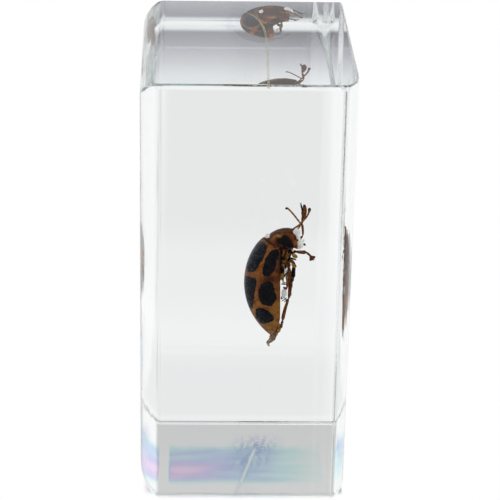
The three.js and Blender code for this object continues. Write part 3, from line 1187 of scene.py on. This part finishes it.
def abdomen():
    """The abdomen from below: a plate whose half-width is 2.95 (1 - s^2 / 0.68)^0.75, with s how far
    past its first quarter. It bulges down by a parabola across, rises towards its tip by a cube, and
    has five rings, each half a sine wave along it."""
    along = np.linspace(0, 1, 140)[:, None]
    across = np.linspace(-1, 1, 60)[None]
    u = 1.2 - 6.1 * along
    width = 2.95 * (1 - np.clip(along - 0.25, 0, 1) ** 2 / 0.68) ** 0.75
    ripple = 0.09 * np.abs(np.sin(5 * np.pi * along))
    v = np.maximum(width, 0.1) * across
    w = 0.30 + 0.45 * along**3 - (0.25 + ripple) * (1 - across**2)
    lower = np.stack([u + 0 * across, v, w], -1)
    return thin_shell(lower, lower + [0, 0, 0.15])


def scutellum(settings):
    """The small triangular plate between the bases of the wing cases: its half-width shrinks evenly
    to the rear, and it arches 0.05 mm over the height of the wing cases there."""
    along = np.linspace(0, 1, 16)[:, None]
    across = np.linspace(-1, 1, 15)[None]
    u = 4.78 - 0.75 * along + 0 * across
    v = 0.48 * (1 - along) * across + 0.02 * across
    rise = settings.height / MM * dome(u, NOSE_REACH, TAIL_REACH, NOSE_FULLNESS, TAIL_FULLNESS)
    upper = np.stack([u, v, rise + 0.05 * (1 - across**2) + 0.01], -1)
    return thin_shell(upper, upper - [0, 0, 0.08])


# The folded edge that hangs from the tip of each hind wing. The left one's is 0.1 mm further on.
WING_HOOK = ((-6.2, 0.26, 0.85), (-6.42, 0.26, 1.0), (-6.62, 0.26, 1.14), (-6.85, 0.26, 1.05))


def hind_wing(side):
    """The tip of a folded hind wing that shows below the wing cases: a narrow crumpled sheet, whose
    half-width is a sine along it, with a hook at its end."""
    along = np.linspace(0, 1, 40)[:, None]
    across = np.linspace(-1, 1, 16)[None]
    width = 0.32 * np.sin(np.pi * np.clip(along * 0.85 + 0.12, 0, 1)) + 0.04
    crumple = 0.05 * np.sin(9 * along + 4 * across)
    u = -5.1 - 1.35 * along + 0 * across
    v = side * 0.16 + side * 0.1 * along + crumple
    w = 0.40 + 0.42 * along + width * across + 0.05 * np.sin(14 * along)
    sheet = np.stack([u, v, w], -1)
    hook = curve_through(WING_HOOK, 20)
    if side < 0:
        hook = hook * (1, -1, 1) + (0.1, 0, 0.1)
    return joined([thin_shell(sheet, sheet + [0, 0.05, 0]), sweep(hook, 0.09, 0.04, (1, 0, 1), 10)])


# Trapped air: centre and half-axes of each bubble, by where it clings.
BUBBLES = {
    "air_at_shoulder": [((4.97, 0.3, 1.13), (0.30, 0.5, 0.32)), ((4.86, 0.8, 0.95), (0.2, 0.3, 0.25))],
    "air_at_head": [
        ((5.38, 0.9, -1.72), (0.42, 0.6, 0.40)),
        ((4.20, 1.2, -2.00), (0.50, 0.5, 0.40)),
        ((4.72, 0.9, -1.90), (0.32, 0.4, 0.22)),
        ((4.50, 0.5, -2.40), (0.16, 0.16, 0.14)),
    ],
    "air_at_legs": [
        ((1.40, 2.2, -0.55), (0.62, 0.20, 0.10)),
        ((-0.81, 2.2, -0.42), (0.46, 0.25, 0.27)),
        ((3.73, 2.5, -1.29), (0.08, 0.12, 0.10)),
    ],
}


# ---------------------------------------------------------------- operators


class SPECIMEN_OT_resin_block(bpy.types.Operator):
    """Cast the clear block round the beetle"""

    bl_idname = "specimen.resin_block"
    bl_label = "Resin block"

    def execute(self, context):
        settings = current().block
        rings, *grids = block_skin(settings)
        attributes = dict(zip(("rubbed", "turned_by", "edge_lines"), (grid.ravel() for grid in grids)))
        steps, around = rings.shape[:2]
        points, faces = rings.reshape(-1, 3), grid_quads(steps, around, True)
        last = (steps - 1) * around
        caps = [np.arange(around)[None], last + np.arange(around)[None, ::-1]]
        part = outward((points, [faces, *caps]))
        # Flat-shaded narrow facets lose none of the light that crosses the block many times.
        resin = cast_resin(settings)
        piece = make_object("cast_block", part, resin, attributes, smooth=False)
        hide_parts(NODE)
        return {"FINISHED"}


class SPECIMEN_OT_pour_seam(bpy.types.Operator):
    """Lay the seam between the two pours of resin"""

    bl_idname = "specimen.pour_seam"
    bl_label = "Pour seam"

    def execute(self, context):
        settings = current().block
        part, creased, highlight_strip = seam_skin(settings)
        attributes = {"creased": creased}
        make_object("seam_between_pours", outward(part), pour_seam(settings), attributes)
        make_object("seam_edge_highlight", outward(highlight_strip), seam_edge_highlight(settings))
        return {"FINISHED"}


class SPECIMEN_OT_mirror_film(bpy.types.Operator):
    """Lay the skin that mirrors interference colours on the bottom face"""

    bl_idname = "specimen.mirror_film"
    bl_label = "Mirror film"

    def execute(self, context):
        sheet = outward(film_skin(current().block))
        make_object("mirror_film", sheet, mirror_film())
        return {"FINISHED"}


class SPECIMEN_OT_wing_cases(bpy.types.Operator):
    """Make the two spotted wing cases and the plate between their bases"""

    bl_idname = "specimen.wing_cases"
    bl_label = "Wing cases"

    def execute(self, context):
        settings, colours = current().beetle, current().colours
        material = spotted_chitin(colours)
        for name, side in (("elytron_right", 1), ("elytron_left", -1)):
            part, attributes = elytron(settings, side)
            beetle_piece(name, part, material, attributes)
        plate_material = underside_chitin(colours)
        beetle_piece("scutellum", scutellum(settings), plate_material)
        return {"FINISHED"}


class SPECIMEN_OT_pronotum(bpy.types.Operator):
    """Make the shield over the front of the thorax"""

    bl_idname = "specimen.pronotum"
    bl_label = "Pronotum"

    def execute(self, context):
        part, attributes = pronotum()
        material = pronotum_chitin(current().colours)
        beetle_piece("pronotum", part, material, attributes)
        return {"FINISHED"}


class SPECIMEN_OT_head(bpy.types.Operator):
    """Make the head, the eyes, the mouthparts and the antennae"""

    bl_idname = "specimen.head"
    bl_label = "Head"

    def execute(self, context):
        colours = current().colours
        limb, eye = limb_chitin(colours), eye_facets(colours)
        beetle_piece("head", lobes(LOBES["head"]), underside_chitin(colours))
        for name in ("eye_right", "eye_left"):
            beetle_piece(name, lobes(LOBES[name]), eye)
        palps = []
        for side in (1, -1):
            path = curve_through(np.array(PALP) * (1, side, 1), len(PALP_WIDTH))
            palps.append(sweep(path, PALP_WIDTH, PALP_THICKNESS, (0, 1, 0), 10))
        part = joined(palps)
        beetle_piece("mouth_palps", part, limb, limb_shades(part, 0.7, 0))
        for name, (golden, points) in ANTENNAE.items():
            part, attributes = antenna(points, golden)
            beetle_piece(name, part, limb, attributes)
        return {"FINISHED"}


class SPECIMEN_OT_underside(bpy.types.Operator):
    """Make the underside of the thorax and the abdomen"""

    bl_idname = "specimen.underside"
    bl_label = "Underside"

    def execute(self, context):
        material, limb = underside_chitin(current().colours), limb_chitin(current().colours)
        for name in ("thorax_front", "thorax_rear"):
            beetle_piece(name, lobes(LOBES[name]), material)
        beetle_piece("abdomen", abdomen(), material)
        tip = lobes(LOBES["abdomen_tip"])
        beetle_piece("abdomen_tip", tip, limb, limb_shades(tip, 0, 1))
        parts, shades = [], []
        for start, end, wide, gold, dark in HIP_PLATES:
            parts.append(limb_segment(start, end, wide / 2, wide, wide / 2, 1.0))
            shades.append(limb_shades(parts[-1], dark, gold))
        attributes = {key: np.concatenate([shade[key] for shade in shades]) for key in shades[0]}
        beetle_piece("hip_plates", joined(parts), limb, attributes)
        return {"FINISHED"}


class SPECIMEN_OT_legs(bpy.types.Operator):
    """Make the six legs"""

    bl_idname = "specimen.legs"
    bl_label = "Legs"

    def execute(self, context):
        material = limb_chitin(current().colours)
        for name, measures in LEGS.items():
            part, attributes = leg(*measures)
            beetle_piece(name, part, material, attributes)
        path = curve_through(FOOT_PAD, len(PAD_WIDTH))
        pad = sweep(path, PAD_WIDTH, PAD_THICKNESS, (0, 0, 1), 12)
        beetle_piece("foot_pad_front_left", pad, material, limb_shades(pad, 0, 0))
        return {"FINISHED"}


class SPECIMEN_OT_hind_wings(bpy.types.Operator):
    """Make the tips of the folded hind wings"""

    bl_idname = "specimen.hind_wings"
    bl_label = "Hind wings"

    def execute(self, context):
        material = wing_membrane(current().colours)
        for name, side in (("hind_wing_right", 1), ("hind_wing_left", -1)):
            beetle_piece(name, hind_wing(side), material)
        return {"FINISHED"}


class SPECIMEN_OT_trapped_air(bpy.types.Operator):
    """Make the bubbles of air that cling to the beetle"""

    bl_idname = "specimen.trapped_air"
    bl_label = "Trapped air"

    def execute(self, context):
        material = trapped_air(current().colours)
        for name, bubbles in BUBBLES.items():
            beetle_piece(name, lobes(bubbles), material)
        return {"FINISHED"}


class SPECIMEN_OT_stage(bpy.types.Operator):
    """Set up the floor, the light and the camera"""

    bl_idname = "specimen.stage"
    bl_label = "Stage"

    def execute(self, context):
        settings = current().stage
        make_floor(settings)
        make_world(settings)
        make_camera(settings)
        set_light_paths()
        return {"FINISHED"}


def make_floor(settings):
    """A white light table just below the block. Its light fades to a soft shade under the block's
    front half, and it ends in the dark of the room on the side that the front face looks at. The
    places of its shades are in mm."""
    half = settings.floor_size / 2
    corners = np.array([(-1, -1), (1, -1), (1, 1), (-1, 1)]) * half
    points = [(x, y, BLOCK_LOW[2] - settings.floor_gap) for x, y in corners]
    mesh = bpy.data.meshes.new("floor")
    mesh.from_pydata(points, [], [(0, 1, 2, 3)])
    material, tree = new_material("white acrylic light table")
    place = add_node(tree, "TexCoord").outputs["Object"]
    in_mm = add_node(tree, "VectorMath", {"Vector": place, "Scale": 1 / MM}, operation="SCALE")
    x, y, _ = add_node(tree, "SeparateXYZ", [in_mm]).outputs
    sideways = add_node(tree, "Math", [x], operation="ABSOLUTE")
    lengthways = add_node(tree, "Math", [y], operation="ABSOLUTE")
    shade = product(
        tree,
        (x, 9.9, 10.25),
        (x, -10.2, -8.8, 0.0, 1.0),
        (lengthways, 11.0, 12.6),
        (y, -15, 9),
        (x, -2, 8, 1.0, 1.25),
        settings.shade_depth,
    )
    room = product(tree, (y, -30, -17), (sideways, 90, 140), 1 - settings.room_light)
    # Behind the block a painted shadow greys the floor a little over the block's width, which widens
    # to the right and is half as grey in a band 38 to 52 mm behind.
    drift = product(tree, y, 0.03)
    drifted = add_node(tree, "Math", [x, drift], operation="SUBTRACT")
    aside = add_node(tree, "Math", [drifted], operation="ABSOLUTE")
    past = add_node(tree, "Math", [aside, drift], operation="SUBTRACT")
    band = product(tree, (y, 38, 22), (y, 52, 76))
    back = product(
        tree,
        (past, 8.0, 10.2),
        (y, 16, 14),
        (y, 130, 160),
        (band, 0.0, 1.0, 1.0, 0.5),
        settings.back_shade,
    )
    light = 1.0
    for loss in (shade, room, back):
        light = add_node(tree, "Math", [light, loss], operation="SUBTRACT")
    colour = coated(tree, (1, 1, 1), (shade, settings.shade_colour))
    add_node(tree, "OutputMaterial", [add_node(tree, "Emission", [colour, light])])
    mesh.materials.append(material)
    floor = bpy.data.objects.new("floor", mesh)
    bpy.context.scene.collection.objects.link(floor)


def make_world(settings):
    """Plain studio light: white above, behind and to both sides, a little darker on the wall low
    behind the block, and dim on the side that the front face looks at."""
    world = bpy.data.worlds.new("studio")
    world.use_nodes = True
    tree = world.node_tree
    tree.nodes.clear()
    place = add_node(tree, "TexCoord").outputs["Generated"]
    _, ahead, up = add_node(tree, "SeparateXYZ", [place]).outputs
    dimmed = 1 - settings.wall_light
    wall = product(tree, (up, 0.50, 0.75), (up, 0.26, 0.14), (ahead, 0.87, 0.79), dimmed)
    room = product(tree, (ahead, -0.5, -0.1), settings.room_shade)
    light = 1.0
    for loss in (wall, room):
        light = add_node(tree, "Math", [light, loss], operation="SUBTRACT")
    add_node(tree, "OutputWorld", [add_node(tree, "Background", [(1, 1, 1), light])])
    bpy.context.scene.world = world


def make_camera(settings):
    """A camera that looks at the target from the given azimuth, elevation and distance."""
    ahead = Vector(
        (
            math.sin(settings.azimuth) * math.cos(settings.elevation),
            math.cos(settings.azimuth) * math.cos(settings.elevation),
            -math.sin(settings.elevation),
        )
    )
    right = Vector((math.cos(settings.azimuth), -math.sin(settings.azimuth), 0))
    up = right.cross(ahead)
    c, s = math.cos(settings.roll), math.sin(settings.roll)
    turned_right, turned_up = right * c + up * s, up * c - right * s
    place_at = Matrix((turned_right, turned_up, -ahead)).transposed().to_4x4()
    place_at.translation = Vector(settings.target) - ahead * settings.distance
    data = bpy.data.cameras.new("camera")
    data.lens = settings.lens
    data.sensor_width = 36.0
    data.clip_start = 0.005
    camera = bpy.data.objects.new("camera", data)
    camera.matrix_world = place_at
    bpy.context.scene.collection.objects.link(camera)
    bpy.context.scene.camera = camera


def set_light_paths():
    """Enough bounces for light to cross the block several times, and plain colours."""
    scene = bpy.context.scene
    scene.view_settings.view_transform = "Standard"
    scene.cycles.max_bounces = 96
    scene.cycles.transmission_bounces = 96
    scene.cycles.glossy_bounces = 96
    scene.cycles.diffuse_bounces = 4
    scene.cycles.transparent_max_bounces = 256


class SPECIMEN_PT_panel(bpy.types.Panel):
    """Lists the specimen's operators"""

    bl_idname = "SPECIMEN_PT_panel"
    bl_label = "Specimen"
    bl_space_type = "VIEW_3D"
    bl_region_type = "UI"
    bl_category = "Specimen"

    def draw(self, context):
        for operator in OPERATORS:
            self.layout.operator(operator.bl_idname)
        for group in SETTINGS:
            box = self.layout.box()
            box.label(text=group.capitalize())
            settings = getattr(context.scene.specimen, group)
            for name in settings.__annotations__:
                box.prop(settings, name)


OPERATORS = (
    SPECIMEN_OT_resin_block,
    SPECIMEN_OT_pour_seam,
    SPECIMEN_OT_mirror_film,
    SPECIMEN_OT_wing_cases,
    SPECIMEN_OT_pronotum,
    SPECIMEN_OT_head,
    SPECIMEN_OT_underside,
    SPECIMEN_OT_legs,
    SPECIMEN_OT_hind_wings,
    SPECIMEN_OT_trapped_air,
    SPECIMEN_OT_stage,
)
CLASSES = (*SETTINGS.values(), SpecimenSettings, *OPERATORS, SPECIMEN_PT_panel)


def register():
    """Register the classes and the scene's settings."""
    for cls in CLASSES:
        bpy.utils.register_class(cls)
    bpy.types.Scene.specimen = PointerProperty(type=SpecimenSettings)


def unregister():
    """Take the classes and the scene's settings away again."""
    del bpy.types.Scene.specimen
    for cls in reversed(CLASSES):
        bpy.utils.unregister_class(cls)


def main():
    """Build every piece in order."""
    register()
    for operator in OPERATORS:
        group, name = operator.bl_idname.split(".")
        getattr(getattr(bpy.ops, group), name)()


if __name__ == "__main__":
    main()
